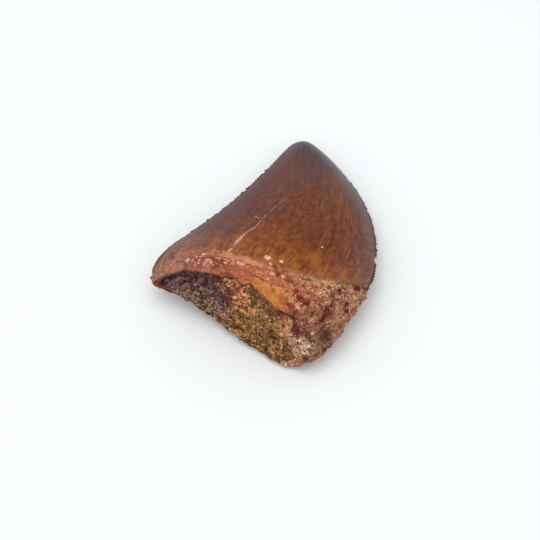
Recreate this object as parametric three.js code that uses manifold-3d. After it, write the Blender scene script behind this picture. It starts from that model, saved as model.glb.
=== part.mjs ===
// A fossil tooth of a large meat-eating dinosaur: one blade-like crown, snapped off at the root,
// whose hollow root end is packed with sandstone. It lies on its flatter, tongue side.
// Millimetres, +Z up. +Y points to the tip, +X to the front edge, and the origin is
// the middle of the footprint, on the surface that the tooth lies on.
import * as THREE from "three";
import { ParametricGeometry } from "three/addons/geometries/ParametricGeometry.js";
import { ImprovedNoise } from "three/addons/math/ImprovedNoise.js";
import { mergeVertices } from "three/addons/utils/BufferGeometryUtils.js";
import Module from "manifold-3d";

const { clamp, lerp, smoothstep } = THREE.MathUtils;
const TAU = 2 * Math.PI;

// ---------------------------------------------------------------- driving dimensions
// The two cutting edges, from the break to the tip.
const BACK_EDGE = [
  [-15.9, -18.3, 5.0],
  [-17.0, -15.5, 5.3],
  [-16.7, -11.3, 5.2],
  [-14.4, -5.3, 4.8],
  [-11.9, 0.7, 4.3],
  [-10.0, 6.7, 3.7],
  [-8.6, 12.5, 3.0],
  [-7.7, 16.9, 2.5],
  [-6.9, 19.4, 2.1],
  [-5.0, 20.5, 1.9],
];
const FRONT_EDGE = [
  [12.0, -19.8, 4.4],
  [15.3, -16.3, 5.0],
  [16.7, -10.3, 5.4],
  [17.1, -4.1, 5.4],
  [16.0, 1.6, 5.1],
  [13.0, 7.7, 4.6],
  [8.4, 13.0, 3.9],
  [2.4, 17.6, 3.0],
  [-2.2, 20.1, 2.2],
  [-5.0, 20.5, 1.9],
];
// The outline of the break, at equal steps round it: front end, lip side, back end, tongue side.
const BREAK_RIM = [
  [12.0, -19.6, 4.2],
  [9.4, -18.7, 8.0],
  [8.9, -17.3, 10.8],
  [5.4, -17.3, 12.4],
  [1.0, -15.8, 13.1],
  [-4.3, -15.4, 12.6],
  [-9.6, -15.6, 11.0],
  [-14.2, -16.6, 7.8],
  [-16.3, -17.7, 5.4],
  [-14.2, -17.7, 4.5],
  [-10.4, -17.2, 3.6],
  [-6.6, -17.6, 2.6],
  [-1.6, -18.6, 1.6],
  [3.0, -19.6, 1.0],
  [7.6, -20.5, 0.6],
  [10.6, -20.3, 1.2],
];
// Bulge of the two faces out of the plane of the edges, at equal steps from break to tip.
const LIP_BULGE = [7.7, 7.3, 5.8, 4.3, 2.9, 1.8];
const TONGUE_BULGE = [5.4, 5.7, 5.2, 4.4, 3.4, 2.0];
// Shape of the section: 0.5 is an ellipse, and towards 1 it pinches into a blade.
const PINCH = [0.62, 0.66, 0.72, 0.76, 0.79, 0.8];
const TIP_START = 0.8; // share of the crown where the worn tip begins to round off
const ROOT_REACH = 0.3; // share of the crown over which the break's outline fades out

// Where the enamel has flaked off, as a share of the crown, at equal steps round it.
const ENAMEL_END = [0.33, 0.3, 0.235, 0.175, 0.15, 0.125, 0.05, 0.1, 0.15, 0.18, 0.22, 0.28];
const ENAMEL_DEPTH = 0.35;
const ENAMEL_SLOPE = 0.02; // share of the crown that the step takes

const RIDGE_CENTRE = 0.62; // place of the gritty ridge, as a share of the way to the enamel
const RIDGE_WIDTH = 0.22;
const RIDGE_HEIGHT = 0.3;
const CRUST_HEIGHT = 0.55; // lumps of iron-stained crust on the bare root
const CRUST_LUMP = 1.5; // size of a lump

// Serrations along both edges.
const DENTICLE_PITCH = 0.6;
const DENTICLE_REACH = 0.2;
const DENTICLE_THICKNESS = 0.42;
const BACK_SERRATED = [0.2, 0.74];
const FRONT_SERRATED = [0.3, 0.76];
// Nicks in the front edge: share of the crown, radius.
const NICKS = [
  [0.436, 0.75],
  [0.335, 0.6],
];

// The hollow in the root end, and the sandstone that fills it.
const HOLLOW_REACH = 0.24; // share of the crown that the hollow runs up into
const HOLLOW_DEPTH = 10; // the same, measured from the break
const RIM_WALL = 0.65; // thickness of the wall at the break
const INNER_WALL = 1.5; // and at the bottom of the hollow
const FILL_GAP = 0.3;
// How far the edge of the sandstone has crumbled back from the break, at equal steps round it.
const FILL_SINK = [0.8, 0.5, 0.5, 1.1, 2.9, 3.3, 2.2, 1.1, 0.6, 0.4, 0.4, 0.6];
const FILL_MIDDLE_SINK = 0.7;
const FILL_GRAIN = 0.4;

const AROUND = 48; // facets round the crown
const CROWN_ROWS = 50;
const ROW_CROWDING = 1.35; // over 1 draws the rows together towards the break
const HOLLOW_ROWS = 8;
const FILL_AROUND = 36;
const FILL_FACE_ROWS = 10;
const FILL_SIDE_ROWS = 6;

// ---------------------------------------------------------------- curves
const spaceCurve = (points, closed = false) =>
  new THREE.CatmullRomCurve3(points.map((p) => new THREE.Vector3(...p)), closed, "catmullrom");
const backEdge = spaceCurve(BACK_EDGE);
const frontEdge = spaceCurve(FRONT_EDGE);
const breakRim = spaceCurve(BREAK_RIM, true);

/** A smooth function of 0..1 through values at equal steps. */
function profile(values) {
  const curve = new THREE.SplineCurve(values.map((v, i) => new THREE.Vector2(i, v)));
  return (share) => curve.getPoint(share).y;
}

/** A smooth function of the angle round the crown through values at equal steps. */
function roundProfile(values) {
  const curve = spaceCurve(values.map((v) => [v, 0, 0]), true);
  return (phi) => curve.getPoint(phi / TAU).x;
}

const lipBulge = profile(LIP_BULGE);
const tongueBulge = profile(TONGUE_BULGE);
const pinch = profile(PINCH);
const enamelEnd = roundProfile(ENAMEL_END);
const fillSink = roundProfile(FILL_SINK);

const noise = new ImprovedNoise();
/** Smooth lumps between about -1 and 1, of a given size in millimetres. */
const lumps = (p, size, layer = 0) =>
  1.6 * noise.noise(p.x / size + layer, p.y / size + 0.37, p.z / size + 0.71);

// ---------------------------------------------------------------- the crown
/** How much of its bulge the crown keeps at a station: all of it, then a rounded tip. */
function tipRounding(u) {
  const t = clamp((u - TIP_START) / (1 - TIP_START), 0, 1);
  return Math.sqrt(1 - t ** 3);
}

/** The clean blade. phi 0 is the front edge, a quarter turn is the lip side; u runs to the tip. */
function blade(phi, u) {
  const point = backEdge.getPointAt(u).lerp(frontEdge.getPointAt(u), (1 + Math.cos(phi)) / 2);
  const side = Math.sin(phi);
  const bulge = side > 0 ? lipBulge(u) : -tongueBulge(u);
  point.z += bulge * tipRounding(u) * Math.abs(side) ** (2 * pinch(u));
  return point;
}

/** The blade, drawn in at the root to the outline of the break. */
function shape(phi, u) {
  const pull = 1 - smoothstep(u, 0, ROOT_REACH);
  const shift = breakRim.getPoint(phi / TAU).sub(blade(phi, 0));
  return blade(phi, u).addScaledVector(shift, pull);
}

/** Height of the relief on the shape: the enamel's broken edge, the ridge and the crust. */
function relief(phi, u, point) {
  const end = enamelEnd(phi);
  const bare = 1 - smoothstep(u, end - ENAMEL_SLOPE, end + ENAMEL_SLOPE / 4);
  const lipSide = smoothstep(Math.sin(phi), 0.3, 0.8);
  const ridge = Math.exp(-(((u / end - RIDGE_CENTRE) / RIDGE_WIDTH) ** 2)) * lipSide;
  const smoothPatch = smoothstep(Math.cos(phi), -0.9, 0.45);
  const crust = CRUST_HEIGHT * smoothPatch * lumps(point, CRUST_LUMP);
  return bare * (crust - ENAMEL_DEPTH + RIDGE_HEIGHT * ridge * (1 + lumps(point, 1)));
}

/** The outer surface of the tooth. */
function outside(phi, u) {
  const point = shape(phi, u);
  const height = relief(phi, u, point) * smoothstep(u, -0.03, 0.03);
  point.x += height * Math.cos(phi);
  point.z += height * Math.sin(phi);
  return point;
}

/** The middle of the section at a station. */
function core(u) {
  const lip = shape(TAU / 4, u);
  const tongue = shape(-TAU / 4, u);
  const middle = shape(0, u).add(shape(TAU / 2, u)).multiplyScalar(0.5);
  return middle.setZ((lip.z + tongue.z) / 2);
}

/** The wall of the hollow, moved in by a gap. k runs from 0 at its bottom to 1 at the break. */
function hollow(phi, k, gap) {
  const halfWidth = 14;
  const halfHeight = 5.5;
  const u = HOLLOW_REACH * (1 - k) * (1 - gap / 10);
  const middle = core(u);
  const wall = lerp(INNER_WALL, RIM_WALL, k) + gap;
  const round = Math.sin((k * TAU) / 4) ** 0.6;
  const point = shape(phi, u).sub(middle);
  const across = round * (1 - wall / halfWidth);
  const high = round * (1 - wall / halfHeight);
  return point.multiply(new THREE.Vector3(across, across, high)).add(middle);
}

/** The whole skin of the tooth: out of the bottom of the hollow, over the rim, to the tip. */
function toothSkin(a, b, target) {
  const phi = -a * TAU;
  const row = b * (HOLLOW_ROWS + CROWN_ROWS);
  if (row < HOLLOW_ROWS - 1e-6) {
    target.copy(hollow(phi, Math.min(row / (HOLLOW_ROWS - 1), 1), 0));
  } else {
    target.copy(outside(phi, clamp((row - HOLLOW_ROWS) / CROWN_ROWS, 0, 1) ** ROW_CROWDING));
  }
}

/** The whole skin of the sandstone: from the middle of its face, over its edge, to its far end. */
function fillSkin(a, b, target) {
  const phi = -a * TAU;
  const row = b * (FILL_FACE_ROWS + FILL_SIDE_ROWS);
  const toEdge = Math.min(row / FILL_FACE_ROWS, 1);
  const toFarEnd = clamp((row - FILL_FACE_ROWS) / FILL_SIDE_ROWS, 0, 1);
  const sink = fillSink(phi) / HOLLOW_DEPTH;
  target.copy(hollow(phi, (1 - sink) * (1 - toFarEnd), FILL_GAP));
  if (toEdge < 1) {
    const middle = core(0);
    const dip = lerp(middle.y + FILL_MIDDLE_SINK, target.y, toEdge ** 2);
    target.lerp(middle, 1 - toEdge).setY(dip);
    target.y += FILL_GRAIN * (1 - toEdge ** 4) * lumps(target, 1.3, 5);
  }
}

// ---------------------------------------------------------------- solids
const wasm = await Module();
wasm.setup();

/** A closed geometry as a manifold solid, with shared vertices and no collapsed faces. */
function solid(geometry) {
  const bare = geometry.clone();
  bare.deleteAttribute("normal");
  bare.deleteAttribute("uv");
  const merged = mergeVertices(bare, 1e-4);
  const triangles = [];
  for (let i = 0; i < merged.index.count; i += 3) {
    const [p, q, r] = merged.index.array.slice(i, i + 3);
    if (p !== q && q !== r && r !== p) {
      triangles.push(p, q, r);
    }
  }
  const vertProperties = merged.attributes.position.array;
  const triVerts = new Uint32Array(triangles);
  return new wasm.Manifold(new wasm.Mesh({ numProp: 3, vertProperties, triVerts }));
}

/** A manifold solid as a three.js geometry. */
function geometryOf(body) {
  const { vertProperties, triVerts } = body.getMesh();
  const geometry = new THREE.BufferGeometry();
  geometry.setAttribute("position", new THREE.BufferAttribute(vertProperties, 3));
  geometry.setIndex(new THREE.BufferAttribute(triVerts, 1));
  geometry.computeVertexNormals();
  return geometry;
}

/** The denticles of one edge: small pointed blocks, sunk halfway into it. */
function denticles(edge, phi, [start, stop]) {
  const count = Math.floor((edge.getLength() * (stop - start)) / DENTICLE_PITCH);
  const blocks = [];
  for (let i = 0; i <= count; i++) {
    const share = i / count;
    const u = lerp(start, stop, share);
    const wear = lerp(1, 0.6, share);
    const tangent = edge.getTangentAt(u);
    const block = new THREE.OctahedronGeometry(1);
    block.scale(DENTICLE_PITCH * 0.46, DENTICLE_REACH * 1.6 * wear, DENTICLE_THICKNESS);
    block.rotateZ(Math.atan2(tangent.y, tangent.x));
    const root = outside(phi, u);
    block.translate(root.x, root.y, root.z);
    blocks.push(solid(block));
  }
  return blocks;
}

/** Small balls that bite the nicks out of the front edge. */
function nickCutters() {
  return NICKS.map(([u, radius]) => {
    const place = outside(0, u);
    const ball = new THREE.IcosahedronGeometry(radius, 0);
    ball.translate(place.x + radius * 0.35, place.y, place.z);
    return solid(ball);
  });
}

/** The half space under the surface that the tooth lies on, which planes its belly flat. */
function ground() {
  const depth = 10;
  return solid(new THREE.BoxGeometry(80, 80, depth).translate(0, 0, -depth / 2));
}

function makeTooth() {
  const skin = new ParametricGeometry(toothSkin, AROUND, HOLLOW_ROWS + CROWN_ROWS);
  let body = solid(skin);
  const teeth = [
    ...denticles(backEdge, TAU / 2, BACK_SERRATED),
    ...denticles(frontEdge, 0, FRONT_SERRATED),
  ];
  for (const tooth of teeth) {
    body = body.add(tooth);
  }
  for (const cutter of nickCutters()) {
    body = body.subtract(cutter);
  }
  return geometryOf(body.subtract(ground()));
}

function makeFill() {
  const skin = new ParametricGeometry(fillSkin, FILL_AROUND, FILL_FACE_ROWS + FILL_SIDE_ROWS);
  return geometryOf(solid(skin));
}

// ---------------------------------------------------------------- the part
const enamel = new THREE.MeshStandardMaterial({ color: 0x7a5236, roughness: 0.32, metalness: 0 });
const sandstone = new THREE.MeshStandardMaterial({ color: 0x7d6244, roughness: 0.95, metalness: 0 });

const tooth = new THREE.Mesh(makeTooth(), enamel);
tooth.name = "tooth";
const fill = new THREE.Mesh(makeFill(), sandstone);
fill.name = "sandstone_fill";

const part = new THREE.Group();
part.add(tooth, fill);
export default part;
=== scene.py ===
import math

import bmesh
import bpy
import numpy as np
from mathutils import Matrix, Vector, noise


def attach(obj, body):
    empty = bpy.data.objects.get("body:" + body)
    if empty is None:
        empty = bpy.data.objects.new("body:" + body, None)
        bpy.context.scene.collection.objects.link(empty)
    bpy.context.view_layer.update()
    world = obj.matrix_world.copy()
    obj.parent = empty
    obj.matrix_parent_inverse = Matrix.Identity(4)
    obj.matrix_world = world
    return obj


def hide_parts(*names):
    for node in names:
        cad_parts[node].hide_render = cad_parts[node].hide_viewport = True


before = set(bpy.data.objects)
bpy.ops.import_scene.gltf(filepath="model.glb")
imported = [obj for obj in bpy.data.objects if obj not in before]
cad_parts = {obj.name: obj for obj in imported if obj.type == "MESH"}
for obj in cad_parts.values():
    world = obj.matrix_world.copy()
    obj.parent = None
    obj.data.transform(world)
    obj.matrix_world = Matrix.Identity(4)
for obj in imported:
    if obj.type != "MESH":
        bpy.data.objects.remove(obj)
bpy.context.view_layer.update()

# %% [markdown]
# # A fossil tooth of a large meat-eating dinosaur
# The tooth is a broad, flattened blade. It lies on its tongue side with its lip side up. Both
# edges carry fine serrations, and the root has snapped off, so the hollow in its end shows,
# packed with sandstone. The CAD model fixes the size and the place of two nodes, the tooth and
# the sandstone. This lesson models both again at the fineness that a close look needs, and
# gives them their enamel, bare dentine, gritty crust and stone.

MM = 0.001
TAU = 2 * math.pi


# %% [markdown]
# ## Writing materials as formulas
# A node tree is quickest to read as a formula, so a small helper adds each node and hands back
# its output. Colours are given as they look on a screen, 0 to 255, and turned into the linear
# values that a shader works with. Patterns read Object coordinates in millimetres.

# %% Screen colours
def paint(red, green, blue):
    """A screen colour, 0 to 255, as linear RGBA."""
    screen = np.array([red, green, blue]) / 255
    linear = np.where(screen <= 0.04045, screen / 12.92, ((screen + 0.055) / 1.055) ** 2.4)
    return (*linear, 1.0)


print("half grey in linear values:", paint(128, 128, 128)[0].round(3))


# %% Graph of nodes
class Graph:
    """A node tree written as a formula: each call adds a node and gives back its output."""

    def __init__(self, tree):
        self.tree = tree

    def feed(self, node, inputs):
        """Gives each input of a node its value, or a link from another node's output."""
        for key, value in inputs.items():
            if isinstance(value, bpy.types.NodeSocket):
                self.tree.links.new(value, node.inputs[key])
            else:
                node.inputs[key].default_value = value

    def add(self, kind, inputs, output=0, **settings):
        node = self.tree.nodes.new("ShaderNode" + kind)
        for name, value in settings.items():
            setattr(node, name, value)
        self.feed(node, inputs)
        return node.outputs[output]

    def group(self, inner, inputs):
        """Places a group and gives back all its outputs."""
        node = self.tree.nodes.new("ShaderNodeGroup")
        node.node_tree = inner.tree
        self.feed(node, inputs)
        return node.outputs

    def math(self, operation, a, b=0.0, clamp=False):
        return self.add("Math", {0: a, 1: b}, operation=operation, use_clamp=clamp)

    def plus(self, a, b):
        return self.math("ADD", a, b)

    def minus(self, a, b):
        return self.math("SUBTRACT", a, b)

    def times(self, product, *factors):
        for factor in factors:
            product = self.math("MULTIPLY", product, factor)
        return product

    def over(self, a, b):
        return self.math("DIVIDE", a, b)

    def most(self, largest, *others):
        for other in others:
            largest = self.math("MAXIMUM", largest, other)
        return largest

    def vector(self, operation, a, b, output=0):
        return self.add("VectorMath", {0: a, 1: b}, output, operation=operation)

    def fade(self, value, low, high):
        """0 below low, 1 above high, and smooth between. It may fall as well as rise."""
        ends = {"Value": value, "From Min": low, "From Max": high}
        return self.add("MapRange", ends, interpolation_type="SMOOTHSTEP")

    def mix(self, share, a, b, blend="MIX"):
        """A colour between a and b."""
        inputs = {0: share, 6: a, 7: b}
        return self.add("Mix", inputs, 2, data_type="RGBA", blend_type=blend)

    def lay(self, under, over, mask, strength, blend="MIX"):
        """Lays one colour over another at a strength, where the mask is."""
        return self.mix(self.times(mask, strength), under, over, blend)

    def noise(self, vector, scale, detail, roughness, output=0):
        inputs = {"Vector": vector, "Scale": scale, "Detail": detail, "Roughness": roughness}
        return self.add("TexNoise", inputs, output)

    def about_zero(self, value):
        """A noise brought from 0 to 1 down to half below and half above zero."""
        return self.minus(value, 0.5)

    def warped(self, place, reach, *noise_values):
        """The place, pushed about by a noise of its own along each axis."""
        push = self.vector("SUBTRACT", self.noise(place, *noise_values, output=1), (0.5, 0.5, 0.5))
        return self.vector("ADD", place, self.vector("MULTIPLY", push, reach))

    def ragged(self, mask, roughening, strength, low, high):
        """A soft mask with its edge roughened by a noise about zero."""
        return self.fade(self.plus(mask, self.times(roughening, strength)), low, high)

    def field(self, name):
        return self.add("Attribute", {}, "Fac", attribute_name=name)

    def ramp(self, value, stops):
        """A colour that runs through (place, colour) stops."""
        color = self.add("ValToRGB", {"Fac": value})
        ramp = color.node.color_ramp
        while len(ramp.elements) < len(stops):
            ramp.elements.new(0.5)
        for element, (place, tint) in zip(ramp.elements, stops):
            element.position = place
            element.color = tint
        return color


# %% New materials
def new_material(name):
    """A material with its Principled shader, and Object coordinates in millimetres."""
    material = bpy.data.materials.new(name)
    material.use_nodes = True
    graph = Graph(material.node_tree)
    shader = material.node_tree.nodes["Principled BSDF"]
    place = graph.add("TexCoord", {}, "Object")
    place = graph.vector("MULTIPLY", place, (1 / MM, 1 / MM, 1 / MM))
    return material, graph, shader, place


# %% [markdown]
# ## Camera
# The view looks down at the tooth from 60 degrees above the table, a little from the front edge,
# with a long lens from a quarter of a metre away. Such a lens keeps the tip from shrinking. The
# camera comes first, because every later judgement is made through it.

# %% Camera
CAMERA_AZIMUTH = math.radians(24)
CAMERA_ELEVATION = math.radians(60)
CAMERA_DISTANCE = 250 * MM
CAMERA_AIM = Vector((0.5, -7.3, 5.0)) * MM
LENS_MM = 100

camera_data = bpy.data.cameras.new("camera")
camera_data.lens = LENS_MM
camera_data.sensor_width = 36
camera_data.clip_start = 0.01
camera = bpy.data.objects.new("camera", camera_data)
bpy.context.collection.objects.link(camera)
camera.rotation_euler = (math.pi / 2 - CAMERA_ELEVATION, 0, CAMERA_AZIMUTH)
look_back = camera.rotation_euler.to_matrix() @ Vector((0, 0, 1))
camera.location = CAMERA_AIM + look_back * CAMERA_DISTANCE
bpy.context.scene.camera = camera
print("camera at", [round(c / MM, 1) for c in camera.location], "mm")

# %% [markdown]
# ## Floor and light
# A pale matt floor lies in an even white room, like a light tent. What the polished enamel
# mirrors is dimmer overhead than at eye level, as if a dark card hung over the table, so that
# its middle keeps a deep colour and only its tilted edges shine. One broad lamp overhead, left
# out of the reflections, deepens the shadow where the tooth meets the floor.

# %% Floor
FLOOR_SIZE = 3.0
FLOOR_COLOR = (0.84, 0.86, 0.865, 1)

bpy.ops.mesh.primitive_plane_add(size=FLOOR_SIZE)
floor = bpy.context.active_object
floor.name = "floor"
paper, graph, paper_shader, place = new_material("pale_paper")
graph.feed(paper_shader, {"Base Color": FLOOR_COLOR, "Roughness": 0.9, "Specular IOR Level": 0.1})
floor.data.materials.append(paper)
print("floor is", FLOOR_SIZE, "m wide")

# %% Room
ROOM_COLOR = (0.97, 0.99, 1.0, 1)
ROOM_STRENGTH = 0.84
# What the enamel mirrors: a grey for each height, 0.5 at eye level and 1 overhead.
MIRRORED_BY_HEIGHT = [
    (0.5, (0.9, 0.9, 0.9, 1)), (0.66, (0.65, 0.65, 0.65, 1)), (0.88, (0.08, 0.08, 0.08, 1)),
]

world = bpy.data.worlds.new("room")
world.use_nodes = True
room = Graph(world.node_tree)
height = room.add("SeparateXYZ", {0: room.add("TexCoord", {}, "Generated")}, "Z")
mirrored = room.ramp(room.plus(room.times(height, 0.5), 0.5), MIRRORED_BY_HEIGHT)
seen = room.mix(room.add("LightPath", {}, "Is Glossy Ray"), ROOM_COLOR, mirrored)
room.feed(world.node_tree.nodes["Background"], {"Color": seen, "Strength": ROOM_STRENGTH})
bpy.context.scene.world = world
print("room has", len(world.node_tree.nodes), "nodes")

# %% Lamp
LAMP_PLACE = (-20, -30, 300)
LAMP_SIZE = 220
LAMP_POWER = 0.38

lamp_data = bpy.data.lights.new("broad_lamp", "AREA")
lamp_data.size = LAMP_SIZE * MM
lamp_data.energy = LAMP_POWER
lamp = bpy.data.objects.new("broad_lamp", lamp_data)
bpy.context.collection.objects.link(lamp)
lamp.location = Vector(LAMP_PLACE) * MM
lamp.rotation_euler = (-lamp.location).to_track_quat("-Z", "Y").to_euler()
lamp.visible_glossy = False
bpy.context.scene.view_settings.view_transform = "Standard"
print("lamp at", LAMP_PLACE, "mm")

# %% [markdown]
# ## The form of the tooth, as a few curves
# A blade-like tooth is ruled by its two cutting edges: a slice across it is a lens hung between
# one point on each. So the whole form follows from two edge curves, the bulge of each face out
# of the plane of the edges, how sharply the lens is pinched, and the ragged outline of the
# break. These are the CAD model's own dimensions, in millimetres, so both models agree.

# %% Driving dimensions
BACK_EDGE = [
    (-15.9, -18.3, 5.0), (-17.0, -15.5, 5.3), (-16.7, -11.3, 5.2), (-14.4, -5.3, 4.8),
    (-11.9, 0.7, 4.3), (-10.0, 6.7, 3.7), (-8.6, 12.5, 3.0), (-7.7, 16.9, 2.5),
    (-6.9, 19.4, 2.1), (-5.0, 20.5, 1.9),
]
FRONT_EDGE = [
    (12.0, -19.8, 4.4), (15.3, -16.3, 5.0), (16.7, -10.3, 5.4), (17.1, -4.1, 5.4),
    (16.0, 1.6, 5.1), (13.0, 7.7, 4.6), (8.4, 13.0, 3.9), (2.4, 17.6, 3.0),
    (-2.2, 20.1, 2.2), (-5.0, 20.5, 1.9),
]
# Round the break: from its front end over the lip side to its back end, then the tongue side.
BREAK_RIM = [
    (12.0, -19.6, 4.2), (9.4, -18.7, 8.0), (8.9, -17.3, 10.8), (5.4, -17.3, 12.4),
    (1.0, -15.8, 13.1), (-4.3, -15.4, 12.6), (-9.6, -15.6, 11.0), (-14.2, -16.6, 7.8),
    (-16.3, -17.7, 5.4), (-14.2, -17.7, 4.5), (-10.4, -17.2, 3.6), (-6.6, -17.6, 2.6),
    (-1.6, -18.6, 1.6), (3.0, -19.6, 1.0), (7.6, -20.5, 0.6), (10.6, -20.3, 1.2),
]
LIP_BULGE = [7.7, 7.3, 5.8, 4.3, 2.9, 1.8]
TONGUE_BULGE = [5.4, 5.7, 5.2, 4.4, 3.4, 2.0]
PINCH = [0.62, 0.66, 0.72, 0.76, 0.79, 0.8]
TIP_START = 0.8  # share of the crown where its faces begin to close on the tip
ROOT_REACH = 0.3  # share of the crown that is drawn in to the break
EDGE_SAMPLES = 1201
# Where the enamel ends, as a share of the crown, at equal steps round it.
ENAMEL_END = [0.33, 0.3, 0.235, 0.175, 0.15, 0.125, 0.05, 0.1, 0.15, 0.18, 0.22, 0.28]
print("edges of", len(BACK_EDGE), "points each, and a break of", len(BREAK_RIM))


# %% Curves through the dimensions
def catmull_rom(points, places, closed=False):
    """Points on a smooth curve through the given ones, at places counted in whole points."""
    points = np.asarray(points, float).reshape(len(points), -1)
    places = np.asarray(places, float)
    if closed:
        count = len(points)
        ring = np.vstack([points[-1:], points, points[:2]])
        places = places % count
    else:
        count = len(points) - 1
        ring = np.vstack([2 * points[0] - points[1], points, 2 * points[-1] - points[-2]])
        places = np.clip(places, 0, count)
    first = np.minimum(places.astype(int), count - 1)
    t = (places - first)[..., None]
    p0, p1, p2, p3 = (ring[first + i] for i in range(4))
    curve = 2 * p1 + (p2 - p0) * t + (2 * p0 - 5 * p1 + 4 * p2 - p3) * t**2
    return (curve + (3 * p1 - p0 - 3 * p2 + p3) * t**3) / 2


class EdgeCurve:
    """A cutting edge, read by the share of its length from the break to the tip."""

    def __init__(self, points):
        self.line = catmull_rom(points, np.linspace(0, len(points) - 1, EDGE_SAMPLES))
        steps = np.linalg.norm(np.diff(self.line, axis=0), axis=1)
        self.run = np.concatenate([[0], np.cumsum(steps)])
        self.length = self.run[-1]

    def at(self, share):
        place = np.asarray(share) * self.length
        return np.stack([np.interp(place, self.run, self.line[:, k]) for k in range(3)], -1)


def profile(values, share):
    return catmull_rom(values, np.asarray(share) * (len(values) - 1))[..., 0]


def round_profile(values, phi):
    return catmull_rom(values, np.asarray(phi) / TAU * len(values), closed=True)[..., 0]


def smoothstep(low, high, value):
    t = np.clip((value - low) / (high - low), 0, 1)
    return t * t * (3 - 2 * t)


back_edge = EdgeCurve(BACK_EDGE)
front_edge = EdgeCurve(FRONT_EDGE)
print(f"edge lengths: back {back_edge.length:.1f} mm, front {front_edge.length:.1f} mm")


# %% The blade and its break
def blade(phi, u):
    """Points of the clean blade. phi 0 is the front edge and a quarter turn the lip side."""
    back, front = back_edge.at(u), front_edge.at(u)
    point = back + (front - back) * ((1 + np.cos(phi)) / 2)[..., None]
    side = np.sin(phi)
    worn = np.clip((u - TIP_START) / (1 - TIP_START), 0, 1)
    bulge = np.where(side > 0, profile(LIP_BULGE, u), -profile(TONGUE_BULGE, u))
    point[..., 2] += bulge * np.sqrt(1 - worn**3) * np.abs(side) ** (2 * profile(PINCH, u))
    return point


def shape(phi, u):
    """The blade, drawn in at the root to the outline of the break."""
    phi, u = np.broadcast_arrays(np.asarray(phi, float), np.asarray(u, float))
    pull = 1 - smoothstep(0, ROOT_REACH, u)
    rim = catmull_rom(BREAK_RIM, phi / TAU * len(BREAK_RIM), closed=True)
    return blade(phi, u) + (rim - blade(phi, 0 * u)) * pull[..., None]


def core(u):
    """The middle of the section at a station."""
    u = np.asarray(u, float)
    middle = (shape(0, u) + shape(TAU / 2, u)) / 2
    middle[..., 2] = (shape(TAU / 4, u)[..., 2] + shape(-TAU / 4, u)[..., 2]) / 2
    return middle


print("middle of the break:", core(0).round(1), "mm")

# %% [markdown]
# ## Drawing a cage out of rings
# A crown could be sculpted out of a ball, but its sections are known, so it is drawn out of a
# ring like clay on a wheel: one circle, extruded station by station, each time moved, turned
# and squeezed to the next section. Each vertex keeps its station and its angle as attributes,
# and every copy inherits them, so that later steps know where on the piece a vertex lies.

# %% Helpers for rings
EVENING = 0.2  # draws the vertices of a ring from its two edges towards the middle of its faces


def deselect_all():
    for item in bpy.context.selected_objects:
        item.select_set(False)


def section(u, narrowing=1.0):
    """Centre, turn about Z, half width and half height of the section at a station."""
    back, front = back_edge.at(u), front_edge.at(u)
    lip, tongue = shape(TAU / 4, u), shape(-TAU / 4, u)
    half_width = np.linalg.norm(front[:2] - back[:2]) / 2 * narrowing
    half_height = (lip[2] - tongue[2]) / 2 * narrowing
    turn = math.atan2(front[1] - back[1], front[0] - back[0])
    return Vector(core(u)) * MM, turn, half_width * MM, half_height * MM


def move_ring(old, new):
    """Moves, turns and squeezes the selected ring from one section to the next."""
    bpy.ops.transform.translate(value=new[0] - old[0])
    bpy.ops.transform.rotate(value=old[1] - new[1], orient_axis="Z", center_override=new[0])
    wide, high = new[2] / old[2], new[3] / old[3]
    bpy.ops.transform.resize(value=(wide, wide, high), center_override=new[0])


def mark_ring(mesh, **values):
    """Writes attributes on the selected vertices."""
    edit = bmesh.from_edit_mesh(mesh)
    for name, value in values.items():
        layer = edit.verts.layers.float[name]
        for vert in edit.verts:
            if vert.select:
                vert[layer] = value


def start_ring(name, around, first):
    """One upright circle at the first section, left selected in edit mode."""
    deselect_all()
    bpy.ops.mesh.primitive_circle_add(vertices=around, radius=MM)
    piece = bpy.context.active_object
    piece.name = name
    angles = [math.atan2(v.co.y, v.co.x) for v in piece.data.vertices]
    angles = [angle + EVENING * math.sin(2 * angle) for angle in angles]
    for label, value_of in (("side", math.cos), ("lift", math.sin), ("station", lambda a: 0.0)):
        layer = piece.data.attributes.new(label, "FLOAT", "POINT")
        layer.data.foreach_set("value", [value_of(angle) for angle in angles])
    bpy.ops.object.mode_set(mode="EDIT")
    bpy.ops.mesh.select_all(action="SELECT")
    bpy.ops.transform.rotate(value=-TAU / 4, orient_axis="X", center_override=(0, 0, 0))
    move_ring((Vector(), 0.0, MM, MM), first)
    return piece


def draw_on(piece, sections, stations):
    """Extrudes the selected ring through the sections and closes the last one to a point."""
    for old, new, station in zip(sections, sections[1:], stations[1:]):
        bpy.ops.mesh.extrude_region()
        move_ring(old, new)
        mark_ring(piece.data, station=station)
    bpy.ops.mesh.extrude_region()
    bpy.ops.mesh.merge(type="CENTER")
    mark_ring(piece.data, station=stations[-1], side=0.0, lift=0.0)


def select_open_edge(piece):
    edit = bmesh.from_edit_mesh(piece.data)
    for vert in edit.verts:
        vert.select = vert.is_boundary
    edit.select_flush(True)


def finish_cage(piece, levels):
    """Turns the faces outwards, and smooths the cage with an applied Subdivision Surface."""
    bpy.ops.mesh.select_all(action="SELECT")
    bpy.ops.mesh.normals_make_consistent(inside=False)
    bpy.ops.object.mode_set(mode="OBJECT")
    smoother = piece.modifiers.new("smooth", "SUBSURF")
    smoother.levels = levels
    smoother.render_levels = levels
    bpy.ops.object.modifier_apply(modifier=smoother.name)
    bpy.ops.object.shade_smooth()
    print(piece.name, "has", len(piece.data.polygons), "faces")


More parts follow.
